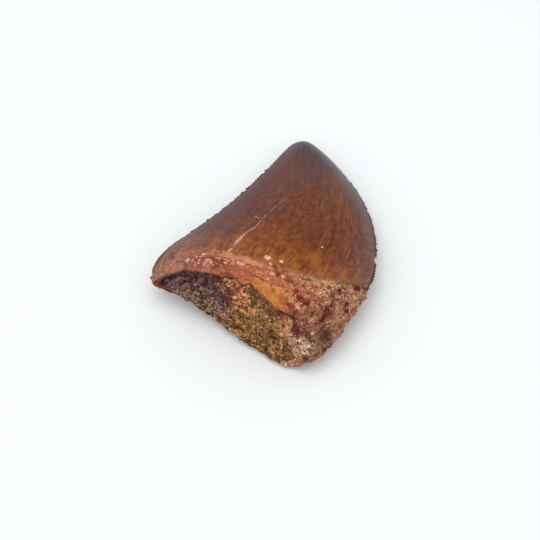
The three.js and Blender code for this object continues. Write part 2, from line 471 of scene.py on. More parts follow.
# %% [markdown]
# ## The tooth
# The rings are close together at the root, where most of the relief is, and along the
# serrations, and far apart at the smooth tip. At the break the same cage carries on inwards:
# the first ring is selected again and drawn up into the pulp cavity in a few shrinking steps.
# Stations below zero mark the broken wall and the cavity. After two levels of subdivision
# there is a vertex every 0.14 to 0.17 mm along the serrations, about four for each.

# %% Cage of the tooth
AROUND = 72
CROWN_STRETCHES = [(0.0, 0.3, 28), (0.3, 0.78, 37), (0.78, 1.0, 7)]  # start, end and rings
HOLLOW_REACH = 0.24
HOLLOW_SHARE = 0.92  # of the section's width at the break
HOLLOW_TAPER = 0.4
HOLLOW_RINGS = 6
LIP_STATION = -0.1

crown_stations = []
for start, end, rings in CROWN_STRETCHES:
    crown_stations += list(np.linspace(start, end, rings, endpoint=False))
crown_sections = [section(u) for u in crown_stations]
crown = start_ring("crown", AROUND, crown_sections[0])
draw_on(crown, crown_sections, crown_stations + [1.0])

depths = np.linspace(0, 0.96, HOLLOW_RINGS)
hollow_stations = [0.0] + [LIP_STATION - (1 + LIP_STATION) * d for d in depths]
hollow_sections = [crown_sections[0]]
hollow_sections += [section(HOLLOW_REACH * d, HOLLOW_SHARE - HOLLOW_TAPER * d) for d in depths]
select_open_edge(crown)
draw_on(crown, hollow_sections, hollow_stations + [-1.0])
finish_cage(crown, 2)

# %% [markdown]
# ## Settling on the true form
# Ellipses were good enough for a cage, but the real section is a pinched lens, and the broken
# rim is ragged. Each vertex now reads its station and angle, and moves to the exact place that
# the curves give. Working on whole arrays keeps this quick.

# %% Arrays of a piece
def read_attribute(piece, name):
    values = np.empty(len(piece.data.vertices))
    piece.data.attributes[name].data.foreach_get("value", values)
    return values


def write_attribute(piece, name, values):
    layer = piece.data.attributes.get(name) or piece.data.attributes.new(name, "FLOAT", "POINT")
    layer.data.foreach_set("value", np.asarray(values, np.float32))


def write_points(piece, points):
    piece.data.vertices.foreach_set("co", (points * MM).astype(np.float32).ravel())
    piece.data.update()


def read_normals(piece):
    normals = np.empty(len(piece.data.vertices) * 3)
    piece.data.vertex_normals.foreach_get("vector", normals)
    return normals.reshape(-1, 3)


# %% Settle the tooth
HOLLOW_HALF_WIDTH = 14
HOLLOW_HALF_HEIGHT = 5.5
# Thickness of the wall at equal steps round the rim, and deep inside.
RIM_WALL = [1.9, 2.1, 1.1, 0.4, 0.35, 0.45, 1.3, 0.4, 0.22, 0.2, 0.25, 0.7]
INNER_WALL = 1.5


def hollow(phi, k, gap=0.0):
    """The wall of the hollow. k runs from 0 at its bottom to 1 at the break."""
    middle = core(HOLLOW_REACH * (1 - k))
    wall = INNER_WALL + (round_profile(RIM_WALL, phi) - INNER_WALL) * k + gap
    narrowing = np.sin(k * TAU / 4) ** 0.6
    across = narrowing * (1 - wall / HOLLOW_HALF_WIDTH)
    high = narrowing * (1 - wall / HOLLOW_HALF_HEIGHT)
    outside = shape(phi, HOLLOW_REACH * (1 - k))
    return middle + (outside - middle) * np.stack([across, across, high], -1)


station = read_attribute(crown, "station")
phi = np.arctan2(read_attribute(crown, "lift"), read_attribute(crown, "side"))
share = np.clip(station, 0, 1)
points = shape(phi, share)
inside = station < 0
k = 1 - np.clip((LIP_STATION - station[inside]) / (1 + LIP_STATION), 0, 1)
over_rim = np.clip(station[inside] / LIP_STATION, 0, 1)[:, None]
points[inside] += (hollow(phi[inside], k) - points[inside]) * over_rim
write_points(crown, points)
print("settled", len(points), "vertices, reaching", points.max(0).round(2), "mm")

# %% [markdown]
# ## Where each surface begins
# The enamel has flaked off the root end. Below its broken edge lie a gritty red band, a smooth
# patch of bare orange dentine beside the break, and, towards the front edge, a lumpy crust of
# iron-stained sand. Each is a soft field from 0 to 1, and the distance below the enamel's edge
# goes with them. They are kept as attributes, so they shape the relief now and mix the colours
# later.

# %% Fields on the tooth
CROWN_LENGTH = 45.0  # turns a share of the crown into millimetres, near enough
MM_PER_DEGREE = 0.22  # across the bare dentine
BAND_SOFTNESS = 1.2
DENTINE_SOFTNESS = 2.2
# Borders on the lip side, as shares of the crown, against the angle round it in degrees.
BAND_TOP = {
    60: 0.15, 76: 0.15, 84: 0.145, 91: 0.12, 96: 0.112, 107: 0.11, 120: 0.094, 129: 0.089,
    136: 0.073, 143: 0.064, 152: 0.055,
}
BAND_FOOT = {
    60: 0.11, 69: 0.118, 76: 0.106, 81: 0.088, 87: 0.074, 98: 0.071, 107: 0.075, 111: 0.064,
    119: 0.039, 128: 0.02, 136: 0.028, 143: 0.047, 152: 0.053,
}
DENTINE_TOP = {
    58: -0.02, 62: 0.02, 66: 0.068, 68: 0.107, 70: 0.114, 77: 0.104, 82: 0.09, 89: 0.071,
    93: 0.045, 98: 0.01, 101: -0.02,
}
DENTINE_ANGLES = (60, 101)


def by_angle(table):
    return np.interp(degrees, list(table), list(table.values()))


degrees = np.degrees(phi)
lip_side = smoothstep(0.0, 0.35, np.sin(phi))
below_enamel = (round_profile(ENAMEL_END, phi) - share) * CROWN_LENGTH
to_band_edge = np.minimum(by_angle(BAND_TOP) - share, share - by_angle(BAND_FOOT)) * CROWN_LENGTH
band = np.clip(0.5 + to_band_edge / BAND_SOFTNESS, 0, 1)
band = band * smoothstep(50, 66, degrees) * smoothstep(160, 140, degrees)
to_dentine_edge = np.minimum.reduce([
    (by_angle(DENTINE_TOP) - share) * CROWN_LENGTH,
    (degrees - DENTINE_ANGLES[0]) * MM_PER_DEGREE,
    (DENTINE_ANGLES[1] - degrees) * MM_PER_DEGREE,
])
fields = {
    "below_enamel": below_enamel,
    "dentine": np.clip(0.5 + to_dentine_edge / DENTINE_SOFTNESS, 0, 1),
    "red_band": band * smoothstep(94, 110, degrees),
    "pale_ridge": band * smoothstep(114, 98, degrees),
    "crust": np.maximum(smoothstep(84, 70, degrees + 60 * share) * lip_side, 1 - lip_side)
    * (np.cos(phi) > -0.3),
    "fracture": smoothstep(0.0, LIP_STATION / 4, station),
}
for name, values in fields.items():
    write_attribute(crown, name, values)
print("fields:", {name: round(float(values.max()), 2) for name, values in fields.items()})

# %% [markdown]
# ## Relief of the tooth
# The broken edge of the enamel is a step of a third of a millimetre. The red band stands up as a
# ridge of grains, the dentine dips, and the crust is lumpy, with sand grains about half a
# millimetre across. Fractal noise gives the lumps, and the distance to scattered points gives
# the grains. All of it pushes the vertices along their normals.

# %% Noise for relief
def fractal(points, size, octaves=4, layer=0.0):
    """Soft lumps of a size in millimetres, about -1 to 1."""
    places = points / size + layer
    return np.array([noise.fractal(Vector(p), 0.8, 2.0, octaves) for p in places])


def grains(points, size, layer=0.0):
    """Rounded grains of a size in millimetres: 1 on top of a grain, 0 between grains."""
    places = points / size + layer
    nearest = np.array([noise.voronoi(Vector(p))[0][0] for p in places])
    return np.clip(1 - nearest * 1.3, 0, 1)


def pit_depth(lumps, grains_over_middle):
    """1 in the pits between lumps and grains, 0 on top of them."""
    return np.clip(0.35 - 0.7 * lumps - 0.5 * grains_over_middle, 0, 1)


# %% Relief
ENAMEL_STEP = 0.3
RIDGE_HEIGHT = 0.25
CRUST_LUMPS = 0.35
GRAIN_HEIGHT = 0.17
DENTINE_DIP = 0.18
BARE_LUMPS = 0.05
GRAIN_MIDDLE = 0.4
WALL_ROUGHNESS = 0.2
CORNER_LUMP = ((12.2, -19.0, 3.4), 2.6, 0.6)  # place, radius and height

bare = smoothstep(0.0, 0.5, below_enamel)
rough = (bare > 0) | inside
relief = np.zeros(len(points))
rough_points = points[rough]
lumps_here = fractal(rough_points, 1.7)
grains_here = grains(rough_points, 0.5)
field_at = {name: values[rough] for name, values in fields.items()}
ridge = np.maximum(field_at["red_band"], field_at["pale_ridge"])
gritty = np.clip(field_at["crust"] * (1 - field_at["dentine"]) + ridge, 0, 1)
height = -ENAMEL_STEP * (0.3 + 0.7 * smoothstep(130, 70, degrees[rough]))
height += CRUST_LUMPS * field_at["crust"] * (1 - field_at["dentine"]) * (lumps_here + 0.25)
height += GRAIN_HEIGHT * gritty * grains_here
height += RIDGE_HEIGHT * ridge * (1 + lumps_here)
height -= DENTINE_DIP * field_at["dentine"]
height += BARE_LUMPS * lumps_here
corner_away = np.linalg.norm(rough_points - np.array(CORNER_LUMP[0]), axis=1) / CORNER_LUMP[1]
height += CORNER_LUMP[2] * np.exp(-(corner_away**2))
relief[rough] = height * bare[rough]
wall = WALL_ROUGHNESS * (1 + smoothstep(0, 0.6, np.cos(phi[inside])))
relief[inside] = wall * (lumps_here + 0.5 * grains_here)[inside[rough]]
points = points + read_normals(crown) * relief[:, None]
# How deep each vertex lies in a pit, kept so that shade can be painted into the pits later.
pit = np.zeros(len(points))
pit[rough] = pit_depth(lumps_here, grains_here - GRAIN_MIDDLE)
write_attribute(crown, "pit", pit)
print("relief from", relief.min().round(2), "to", relief.max().round(2), "mm")

# %% [markdown]
# ## Serrations, nicks and the ragged rim
# The denticles sit side by side along each edge like the teeth of a steak knife, and are worn
# low towards the tip. Modelling one and copying it would leave seams, so the edge itself is
# pushed in and out along its length. The front edge has lost four small chips. At the break a
# small spur ends the back edge, and the rim wanders where its wall has chipped.

# %% Serrations
DENTICLE_PITCH = 0.6
DENTICLE_HEIGHT = 0.4
DENTICLE_WIDTH = 0.34
DENTICLE_ROUNDNESS = 0.7  # below 1, the tops are broad and the gaps narrow
DENTICLE_MIDDLE = 0.6
EDGE_WANDER = 0.16
# Shares of the edge where the denticles fade in, stand full, begin to fade and are gone.
BACK_SERRATED = (0.15, 0.22, 0.72, 0.84)
FRONT_SERRATED = (0.24, 0.3, 0.74, 0.86)

edge_out = front_edge.at(share) - back_edge.at(share)
half_width = np.linalg.norm(edge_out, axis=1) / 2
edge_out /= np.maximum(2 * half_width, 1e-6)[:, None]
from_edge = (1 - np.abs(np.cos(phi))) * half_width
at_edge = np.exp(-((from_edge / DENTICLE_WIDTH) ** 2)) * (station >= 0)
for edge, facing, (fade_in, full, fading, gone) in (
    (back_edge, -1, BACK_SERRATED),
    (front_edge, 1, FRONT_SERRATED),
):
    here = at_edge * (np.sign(np.cos(phi)) == facing)
    run = share * edge.length / DENTICLE_PITCH
    wave = np.abs(np.cos(run * TAU / 2)) ** DENTICLE_ROUNDNESS - DENTICLE_MIDDLE
    drift = np.array([noise.noise(Vector((r * 0.8, facing, 0))) for r in run])
    serrated = smoothstep(fade_in, full, share) * smoothstep(gone, fading, share)
    out = DENTICLE_HEIGHT * wave * np.clip(1.0 + 1.2 * drift, 0.5, 1.5)
    out = out + EDGE_WANDER * drift
    points += edge_out * (facing * here * serrated * out)[:, None]
    serrated_length = (fading + gone - fade_in - full) / 2 * edge.length
    print("denticles along the edge:", round(serrated_length / DENTICLE_PITCH))

# %% Nicks and spur
# Share of the edge, depth or length in millimetres, and half length as a share.
NICKS = [(0.436, 0.5, 0.012), (0.335, 0.35, 0.01), (0.215, 0.3, 0.012), (0.12, 0.3, 0.01)]
SPUR = (0.016, 0.5, 0.006)

front_here = at_edge * (np.cos(phi) > 0)
for nick, depth, reach in NICKS:
    bite = depth * np.exp(-(((share - nick) / reach) ** 2))
    points -= edge_out * (front_here * bite)[:, None]
back_here = at_edge * (np.cos(phi) < 0)
spur_at, spur_length, spur_reach = SPUR
spur_out = spur_length * np.exp(-(((share - spur_at) / spur_reach) ** 2))
points -= edge_out * (back_here * spur_out)[:, None]
print("nicks:", len(NICKS), "on the front edge")

# %% Ragged rim
RIM_WANDER = 0.25
RIM_SHARE = 0.02  # share of the crown over which the wandering dies away
# How far the lip side of the rim is chipped back, by the angle round it in degrees.
RIM_CHIPS = {
    40: 0.0, 60: 0.25, 70: 0.3, 80: 0.2, 86: 0.15, 90: 0.45, 94: 0.35, 96: -0.1, 99: -0.2,
    101: 0.0, 103: 0.4, 107: 0.45, 109: -0.1, 112: -0.15, 116: 0.0,
}

on_wall = np.clip(1 + 4 * (station - LIP_STATION), 0, 1)
near_rim = np.exp(-share / RIM_SHARE) * np.where(inside, on_wall, 1)
wander = np.array([
    noise.noise(Vector((math.cos(a) * 4, math.sin(a) * 4, 0)))
    + 0.6 * noise.noise(Vector((math.cos(a) * 14, math.sin(a) * 14, 5)))
    for a in phi
])
chips = by_angle(RIM_CHIPS) * (degrees > min(RIM_CHIPS)) * (degrees < max(RIM_CHIPS))
chipped_back = (RIM_WANDER * wander + chips) * near_rim
points[:, 1] += chipped_back
points[:, 2] = np.maximum(points[:, 2], 0)
write_points(crown, points)
print("rim chipped back by up to", chipped_back.max().round(2), "mm")

# %% [markdown]
# ## Stains by place
# Some stains lie at one place only, such as the dark red blotches in the crust, the chalky patch
# at the corner and the flecks of calcite. A few centres and radii hold each kind, and the
# distance to the nearest one makes a soft spot. Noise makes its outline ragged later.

# %% Stains on the tooth
# Centre and radius in millimetres.
TOOTH_SPOTS = {
    "red_spots": [
        ((7.7, -13.0, 12.3), 0.6), ((8.7, -13.8, 12.3), 0.7), ((9.4, -13.7, 11.7), 0.7),
        ((9.9, -13.7, 11.4), 0.6), ((11.8, -12.9, 10.4), 0.6), ((13.3, -11.5, 8.9), 0.5),
        ((12.9, -13.1, 8.9), 1.0), ((12.8, -14.1, 8.8), 0.7), ((13.6, -12.8, 8.5), 0.7),
        ((15.3, -9.6, 7.9), 0.6), ((15.4, -10.2, 7.0), 0.6), ((10.1, -17.7, 8.1), 0.7),
        ((9.3, -17.5, 9.3), 0.6), ((9.0, -17.2, 10.3), 0.5), ((3.8, -11.4, 12.6), 0.8),
    ],
    "rust_spots": [
        ((6.4, -15.3, 12.1), 0.7), ((7.7, -15.9, 12.1), 0.8), ((8.5, -16.1, 11.4), 0.8),
        ((7.6, -16.9, 11.7), 0.7), ((9.5, -17.5, 9.0), 1.2), ((5.7, -14.8, 12.3), 0.5),
        ((16.4, -9.1, 5.9), 0.7), ((13.1, -10.9, 9.4), 0.6), ((12.7, -15.1, 8.7), 0.7),
    ],
    "tan_spots": [
        ((9.6, -9.6, 11.0), 0.9), ((11.9, -8.0, 10.1), 1.0), ((10.7, -8.5, 10.7), 0.7),
        ((14.4, -13.2, 7.4), 1.0), ((16.1, -8.0, 6.8), 1.1), ((16.6, -6.1, 6.1), 0.9),
        ((15.0, -7.2, 7.7), 0.7), ((15.2, -15.1, 5.9), 0.7), ((14.3, -11.1, 8.3), 0.9),
        ((8.5, -10.0, 11.4), 0.7), ((-2.0, -11.3, 13.0), 0.8), ((0.1, -11.2, 13.0), 0.5),
    ],
    "smooth_tan": [
        ((13.1, -18.0, 5.5), 0.9), ((14.1, -16.9, 5.4), 0.9), ((15.1, -16.0, 5.5), 0.9),
        ((15.8, -14.3, 5.2), 0.9),
    ],
    "purple_spots": [
        ((10.1, -19.6, 5.5), 0.9), ((10.9, -19.7, 4.7), 0.9), ((12.5, -19.7, 4.7), 0.7),
        ((9.7, -19.8, 3.2), 1.0), ((13.9, -15.7, 6.7), 1.3), ((13.4, -15.5, 7.9), 0.7),
        ((15.7, -5.9, 7.7), 1.0), ((14.6, -15.9, 5.9), 0.8),
    ],
    "white_spots": [
        ((10.1, -18.8, 7.3), 0.7), ((10.9, -18.2, 6.9), 0.8), ((12.1, -18.1, 6.2), 0.9),
        ((11.3, -19.0, 6.1), 0.9), ((11.9, -19.2, 5.3), 0.7),
    ],
    "white_flecks": [
        ((1.0, -9.4, 12.7), 0.55), ((1.9, -10.3, 12.9), 0.25), ((3.3, -9.0, 12.5), 0.35),
        ((-4.0, -12.1, 12.9), 0.4), ((-2.8, -12.3, 13.0), 0.45), ((-2.1, -12.4, 13.1), 0.45),
        ((3.0, -12.0, 13.0), 0.5), ((4.6, -11.6, 12.6), 0.4), ((-11.2, -14.1, 10.9), 0.45),
        ((-9.0, -12.5, 11.6), 0.4), ((-7.6, -13.6, 12.0), 0.3), ((8.9, -15.3, 11.7), 0.4),
        ((12.2, -16.7, 7.7), 0.4), ((9.1, -18.5, 8.2), 0.4), ((7.9, -2.8, 10.5), 0.2),
    ],
    "dark_spots": [
        ((6.2, -13.7, 12.3), 0.32), ((4.3, -14.5, 12.6), 0.4), ((3.7, -13.9, 12.7), 0.25),
        ((2.7, -4.3, 11.4), 0.6), ((0.4, 6.5, 8.6), 0.4), ((8.2, -2.1, 10.3), 0.6),
        ((11.2, -3.0, 9.6), 1.3), ((13.8, -4.8, 8.6), 0.9), ((-2.1, -6.8, 11.7), 0.35),
    ],
}


def spots(points, places):
    """1 at each place, fading to 0 around it."""
    away = [np.linalg.norm(points - np.array(centre), axis=1) / radius for centre, radius in places]
    return np.exp(-(np.min(away, axis=0) ** 2))


for name, places in TOOTH_SPOTS.items():
    write_attribute(crown, name, spots(points, places))
print("stains on the tooth:", {name: len(places) for name, places in TOOTH_SPOTS.items()})

# %% [markdown]
# ## The sandstone in the hollow
# Sand filled the pulp cavity and set hard. At the break its face has crumbled: it lies deep under
# the lip side at the back, and is almost level with the wall elsewhere. The piece is drawn from
# one ring again, first to the middle of its face, then, from the open edge, up into the hollow.

# %% Cage of the sandstone
FILL_AROUND = 64
FILL_FACE_RINGS = 16
FILL_SIDE_RINGS = 5
FILL_START = 0.02  # station of the face
FILL_SHARE = 0.9  # of the section's width at the face
FILL_REACH = 0.2
FILL_TAPER = 0.5

face_shares = np.linspace(0, 0.97, FILL_FACE_RINGS)
side_shares = np.linspace(0, 0.95, FILL_SIDE_RINGS)
stone = start_ring("sandstone", FILL_AROUND, section(FILL_START, FILL_SHARE))
face_sections = [section(FILL_START, FILL_SHARE * (1 - s)) for s in face_shares]
draw_on(stone, face_sections, list(face_shares) + [1.0])
select_open_edge(stone)
side_sections = [
    section(FILL_START + FILL_REACH * s, FILL_SHARE - FILL_TAPER * s) for s in side_shares
]
draw_on(stone, side_sections, list(-side_shares) + [-1.0])
finish_cage(stone, 2)

# %% Settle the sandstone
HOLLOW_DEPTH = 10
# How far the face lies below the rim, at equal steps round it and in the middle.
FILL_SINK = [0.5, 0.3, 0.35, 1.0, 2.9, 3.3, 1.6, 0.3, 0.05, 0.0, 0.0, 0.2]
FILL_MIDDLE_SINK = 0.7
LIP_GAP = 0.12
TONGUE_OVERLAP = 0.12
TONGUE_SWELL = 0.3
RIM_RAGGED = 1.3

stone_station = read_attribute(stone, "station")
stone_phi = np.arctan2(read_attribute(stone, "lift"), read_attribute(stone, "side"))
sink = round_profile(FILL_SINK, stone_phi) / HOLLOW_DEPTH
up_hollow = np.clip(-stone_station, 0, 1)
to_middle = np.clip(stone_station, 0, 1)
gap = -TONGUE_OVERLAP + (LIP_GAP + TONGUE_OVERLAP) * smoothstep(-0.2, 0.3, np.sin(stone_phi))
stone_points = hollow(stone_phi, (1 - sink) * (1 - up_hollow), gap)
middle = core(0)
dish = 1 - (1 - to_middle) ** 2
dip = stone_points[:, 1] + (middle[1] + FILL_MIDDLE_SINK - stone_points[:, 1]) * dish
stone_points += (middle - stone_points) * to_middle[:, None]
on_face = stone_station > 0
stone_points[on_face, 1] = dip[on_face]
low_side = smoothstep(0.1, -0.3, np.sin(stone_phi)) * smoothstep(-0.1, 0.0, stone_station)
ragged = fractal(stone_points * (1, 0, 1), 1.4, 3, 8.0)
stone_points[:, 1] -= TONGUE_SWELL * (1 + RIM_RAGGED * ragged) * low_side * (1 - to_middle) ** 2
write_points(stone, stone_points)
print("settled", len(stone_points), "vertices, the face up to", dip.max().round(2), "mm")

# %% Grain of the sandstone
STONE_LUMPS = 0.5
STONE_GRAINS = 0.3
# Where each stain of the sand lies on the face, and shaded_zone, painted shade under the lip rim:
# centre and radius in millimetres.
STONE_SPOTS = {
    "purple_zone": [
        ((-14.1, -17.0, 5.7), 1.6), ((-12.5, -16.4, 7.3), 1.9), ((-10.8, -15.9, 8.2), 2.1),
        ((-9.0, -15.9, 9.2), 2.2), ((-7.3, -15.7, 9.8), 2.0), ((-5.6, -16.2, 9.6), 1.6),
        ((-4.2, -16.9, 9.0), 1.3), ((-3.1, -17.6, 7.9), 1.0),
    ],
    "red_zone": [
        ((-5.8, -15.3, 10.6), 1.2), ((-4.2, -16.0, 10.3), 1.2), ((-2.9, -16.6, 9.8), 1.2),
        ((-1.6, -17.4, 9.4), 1.1), ((-2.4, -17.4, 8.4), 1.0),
    ],
    "ochre_zone": [
        ((-3.4, -15.1, 11.2), 0.8), ((-2.2, -15.6, 11.2), 1.0), ((-1.1, -16.2, 11.0), 1.0),
        ((0.1, -16.8, 11.3), 0.7), ((-1.0, -17.1, 9.9), 0.8), ((0.8, -17.3, 10.2), 1.0),
        ((1.9, -17.4, 9.7), 1.0), ((-0.2, -17.5, 8.6), 1.0),
    ],
    "yellow_zone": [
        ((-1.6, -18.1, 7.1), 0.5), ((-0.7, -17.9, 6.4), 0.5), ((0.3, -18.2, 5.9), 0.5),
        ((2.4, -18.1, 7.7), 0.8), ((3.9, -17.9, 9.1), 0.8), ((5.1, -18.2, 7.6), 0.8),
    ],
    "shaded_zone": [
        ((0.3, -16.0, 11.9), 0.7), ((1.2, -15.8, 12.0), 0.9), ((2.3, -16.6, 11.7), 0.9),
        ((3.5, -16.9, 11.3), 0.7), ((4.7, -17.2, 10.5), 0.7),
    ],
    "purple_spots": [
        ((9.7, -19.8, 3.2), 1.1), ((9.3, -19.7, 5.2), 0.9), ((8.0, -20.2, 1.6), 0.8),
    ],
}

face_share = smoothstep(-0.02, 0.1, stone_station)
stone_lumps = fractal(stone_points, 2.0, 5, 3.0)
stone_grains = grains(stone_points, 0.55, 2.0) - GRAIN_MIDDLE
stone_relief = (STONE_LUMPS * stone_lumps + STONE_GRAINS * stone_grains) * face_share
stone_points = stone_points + read_normals(stone) * stone_relief[:, None]
write_points(stone, stone_points)
write_attribute(stone, "pit", pit_depth(stone_lumps, stone_grains))
for name, places in STONE_SPOTS.items():
    write_attribute(stone, name, spots(stone_points, places))
print("sandstone spans", np.ptp(stone_points, axis=0).round(1), "mm")

# %% [markdown]
# ## Grit, stains and line marks
# Three effects are laid on again and again, so each is a node group. Grit is sand: scattered
# cells, each with its own tone between a dark, a middle and a pale colour, with pale veins and
# dark creases, and a height for the bump. A stain is a soft-edged patch of fractal noise. A line
# mark is the neighbourhood of a straight stretch, seen from above, for cracks and scratches.
# The sand could be modelled grain by grain, but many thousands of grains would cost far more
# than they show, so the mesh has only their rough relief.

# %% Node groups with named sockets
def new_group(name, inputs, outputs):
    """A shader node group with named sockets: its graph, what it is given and its result."""
    tree = bpy.data.node_groups.new(name, "ShaderNodeTree")
    for label, kind in inputs.items():
        tree.interface.new_socket(label, in_out="INPUT", socket_type="NodeSocket" + kind)
    for label, kind in outputs.items():
        tree.interface.new_socket(label, in_out="OUTPUT", socket_type="NodeSocket" + kind)
    given = tree.nodes.new("NodeGroupInput").outputs
    return Graph(tree), given, tree.nodes.new("NodeGroupOutput")


# %% Grains of the grit
GRIT_WARP = 0.35
# How much a grain's own tone, a fine noise and a coarse noise count in its colour.
TONE_SHARES = (0.4, 0.3, 0.5)

grit, given, result = new_group(
    "grit",
    {"Vector": "Vector", "Grain": "Float", "Dark": "Color", "Middle": "Color", "Pale": "Color",
     "Pale Share": "Float", "Veins": "Float", "Creases": "Float"},
    {"Color": "Color", "Height": "Float"},
)
warped = grit.warped(given["Vector"], (GRIT_WARP,) * 3, 1.6, 2.0, 0.6)
cells = {"Vector": warped, "Scale": grit.over(1.0, given["Grain"])}
away = grit.add("TexVoronoi", cells, "Distance")
tone = grit.add("SeparateColor", {0: away.node.outputs["Color"]})
fine = grit.noise(given["Vector"], grit.over(1.6, given["Grain"]), 2.0, 0.7)
coarse = grit.noise(warped, grit.over(0.32, given["Grain"]), 3.0, 0.6)
mixed_tone = grit.times(tone, TONE_SHARES[0])
mixed_tone = grit.plus(mixed_tone, grit.times(fine, TONE_SHARES[1]))
mixed_tone = grit.plus(mixed_tone, grit.times(coarse, TONE_SHARES[2]))
color = grit.mix(grit.fade(mixed_tone, 0.42, 0.6), given["Dark"], given["Middle"])
print("grains take", len(grit.tree.nodes), "nodes")

# %% Veins and creases of the grit
VEIN_WIDTH = 0.035
CREASE_WIDTH = 0.04
NEAR_BLACK = (0.005, 0.002, 0.002, 1)


def winding_line(field, width):
    """1 where a noise crosses its middle value, which draws a winding line."""
    return grit.fade(grit.math("ABSOLUTE", grit.about_zero(field)), width, 0.0)


vein = grit.times(winding_line(coarse, VEIN_WIDTH), given["Veins"])
pale_from = grit.minus(0.86, given["Pale Share"])
pale = grit.fade(mixed_tone, pale_from, grit.plus(pale_from, 0.12))
color = grit.mix(grit.most(pale, vein), color, given["Pale"])
swirl = grit.noise(warped, 0.75, 3.0, 0.6)
crease = grit.times(winding_line(swirl, CREASE_WIDTH), given["Creases"])
color = grit.mix(crease, color, grit.mix(0.5, given["Dark"], NEAR_BLACK))
height = grit.times(grit.minus(1.0, away), grit.plus(tone, 0.4))
height = grit.plus(height, grit.times(coarse, 1.2))
height = grit.minus(grit.plus(height, vein), crease)
grit.feed(result, {"Color": color, "Height": height})
print("grit has", len(grit.tree.nodes), "nodes")

# %% Stains
stain, given, result = new_group(
    "stain",
    {"Vector": "Vector", "Size": "Float", "Low": "Float", "High": "Float"},
    {"Mask": "Float"},
)
cloud = stain.noise(given["Vector"], stain.over(1.0, given["Size"]), 4.0, 0.6)
stain.feed(result, {"Mask": stain.fade(cloud, given["Low"], given["High"])})
print("stain has", len(stain.tree.nodes), "nodes")

# %% Line marks
line_mark, given, result = new_group(
    "line_mark",
    {"Vector": "Vector", "Start": "Vector", "End": "Vector", "Width": "Float"},
    {"Mask": "Float"},
)
flat = line_mark.vector("MULTIPLY", given["Vector"], (1, 1, 0))
along = line_mark.vector("SUBTRACT", given["End"], given["Start"])
offset = line_mark.vector("SUBTRACT", flat, given["Start"])
reach = line_mark.vector("DOT_PRODUCT", offset, along, "Value")
length = line_mark.vector("DOT_PRODUCT", along, along, "Value")
run = line_mark.math("DIVIDE", reach, length, clamp=True)
foot = line_mark.add("VectorMath", {0: along, "Scale": run}, operation="SCALE")
near = line_mark.over(line_mark.vector("DISTANCE", offset, foot, "Value"), given["Width"])
line_mark.feed(result, {"Mask": line_mark.fade(near, 1.0, 0.35)})
print("line_mark has", len(line_mark.tree.nodes), "nodes")

# %% [markdown]
# ## The colour of the enamel
# Iron has stained the enamel: amber low on the crown, through red-brown to a mauve grey at the
# tip and along both edges. Fine streaks run up the crown and meet at the tip. They follow the
# piece's own angle and station attributes, so they fan as the real ones do.

# %% Body of the enamel
AMBER_TO_TIP = [
    (0.15, paint(162, 94, 36)), (0.28, paint(146, 80, 28)), (0.42, paint(127, 68, 28)),
    (0.55, paint(121, 68, 40)), (0.68, paint(110, 66, 50)), (0.8, paint(93, 59, 57)),
    (0.92, paint(78, 63, 68)),
]
BACK_MARGIN = [
    (0.1, paint(146, 96, 62)), (0.2, paint(142, 90, 58)), (0.27, paint(118, 67, 52)),
    (0.4, paint(108, 56, 47)), (0.7, paint(98, 55, 51)), (0.95, paint(94, 74, 76)),
]
FRONT_MARGIN = [
    (0.2, paint(144, 96, 78)), (0.4, paint(121, 81, 70)), (0.7, paint(92, 69, 69)),
    (0.95, paint(69, 59, 61)),
]

tooth_finish, graph, tooth_shader, place = new_material("tooth_finish")
side, lift, along_crown = (graph.field(name) for name in ("side", "lift", "station"))
cloud = graph.noise(place, 0.22, 4.0, 0.55)
drift = graph.times(graph.about_zero(cloud), 0.35)
enamel = graph.ramp(graph.plus(along_crown, drift), AMBER_TO_TIP)
back_margin = graph.fade(graph.plus(side, drift), -0.12, -0.85)
front_margin = graph.fade(graph.plus(side, drift), 0.4, 1.0)
enamel = graph.mix(back_margin, enamel, graph.ramp(along_crown, BACK_MARGIN))
enamel = graph.mix(front_margin, enamel, graph.ramp(along_crown, FRONT_MARGIN))
print("enamel runs through", len(AMBER_TO_TIP), "colours from root to tip")

# %% Streaks up the crown
# Noise cells to half the width of the crown, and to the whole of its length.
STREAKS = (38, 12.0)
DASHES = (24, 11.0)
MOTTLES = (9, 6.0)
WHITE = paint(255, 255, 255)


def crown_place(around, along):
    """Coordinates that follow the crown, so that a noise on them fans out from the tip."""
    return graph.add("CombineXYZ", {
        "X": graph.times(side, around),
        "Y": graph.times(lift, around),
        "Z": graph.times(along_crown, along),
    })


streaks = graph.noise(crown_place(*STREAKS), 1.0, 4.0, 0.65)
mottles = graph.noise(crown_place(*MOTTLES), 1.0, 5.0, 0.62)
dashes = graph.noise(crown_place(*DASHES), 1.0, 2.0, 0.6)
streak_tint = graph.ramp(streaks, [(0.34, paint(200, 178, 170)), (0.54, WHITE)])
enamel = graph.mix(graph.fade(mottles, 0.3, 0.55), enamel, streak_tint, "MULTIPLY")
mid_crown = graph.times(graph.fade(along_crown, 0.8, 0.6), graph.fade(side, -0.7, -0.3))
dash_mask = graph.times(graph.fade(dashes, 0.58, 0.68), mid_crown)
enamel = graph.lay(enamel, paint(82, 38, 26), dash_mask, 0.45)
pale_streaks = graph.times(graph.fade(streaks, 0.58, 0.7), graph.fade(side, 0.0, 0.35), mid_crown)
enamel = graph.lay(enamel, paint(172, 116, 92), pale_streaks, 0.3)
print("tooth_finish has", len(tooth_finish.node_tree.nodes), "nodes so far")

# %% [markdown]
# ## Patches and worn edges
# Red and dark patches cloud the lower crown, and an amber glow shows just above the broken edge
# of the enamel. Both cutting edges are worn to a dark line. Each is laid over the last by a mask
# that fades with the place on the crown. An image could be painted instead, but it would blur
# close up, and a mask can be moved or weakened by changing one number.

# %% Patches on the enamel
def stain_mask(size, low, high):
    """Where stains of a size in millimetres lie, on the material in hand."""
    return graph.group(stain, {"Vector": place, "Size": size, "Low": low, "High": high})["Mask"]


